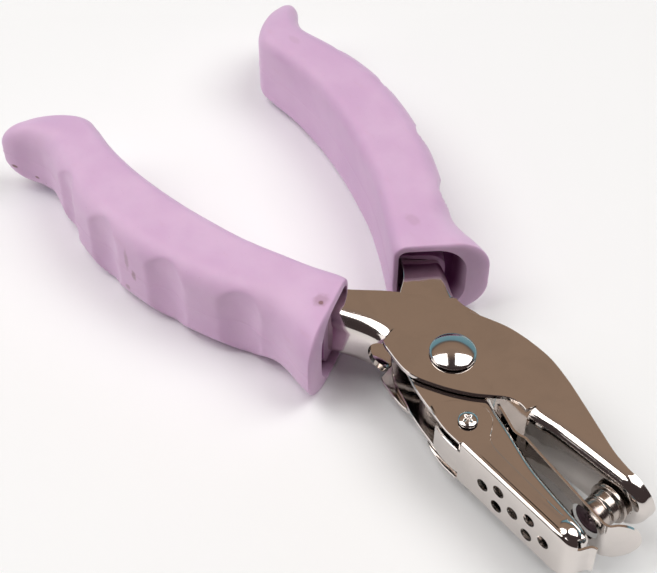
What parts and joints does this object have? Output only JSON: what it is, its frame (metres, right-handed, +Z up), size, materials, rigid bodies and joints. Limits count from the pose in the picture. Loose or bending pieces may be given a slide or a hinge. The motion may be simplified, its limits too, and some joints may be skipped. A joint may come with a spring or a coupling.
{
  "type": "hand hole punch",
  "caption": "Plier-type hand hole punch with crossed pressed-steel levers, a round punch pin, a stripper plate, a hinged chip cover and soft grips with finger grooves.",
  "frame": {"origin": "middle of the bounding box at its bottom, on the surface the tool lies on", "axes": "+X towards the nose, +Y towards the punch jaw, +Z up along the pivot"},
  "size_m": [0.1622, 0.0808, 0.021],
  "materials": {
    "nickel": "bright nickel plate on pressed steel",
    "tool_steel": "fine turned steel",
    "spring_steel": "drawn spring wire",
    "lilac_rubber": "smooth satin moulded rubber"
  },
  "bodies": {
    "die_side": {"die_lever": "nickel", "stripper_plate": "nickel", "stripper_rivet": "nickel", "die_grip": "lilac_rubber", "pivot_rivet": "nickel", "pivot_sleeve": "tool_steel", "return_spring": "spring_steel", "cover_rivet": "nickel"},
    "punch_side": {"punch_lever": "nickel", "punch_pin": "tool_steel", "punch_grip": "lilac_rubber"},
    "cover": {"chip_cover": "nickel"}
  },
  "joints": [
    {"name": "jaw_pivot", "type": "hinge", "parent": "die_side", "child": "punch_side", "pos_m": [0.03122, -0.00496, 0.0105], "axis": [0, 0, -1], "range_deg": [0, 7.1], "stiffness_Nm_per_rad": 2, "springref_deg": -20.05, "deforming": ["return_spring"]},
    {"name": "cover_hinge", "type": "hinge", "parent": "die_side", "child": "cover", "pos_m": [0.04472, -0.01346, 0.0105], "axis": [0, 0, -1], "range_deg": [0, 28]}
  ]
}
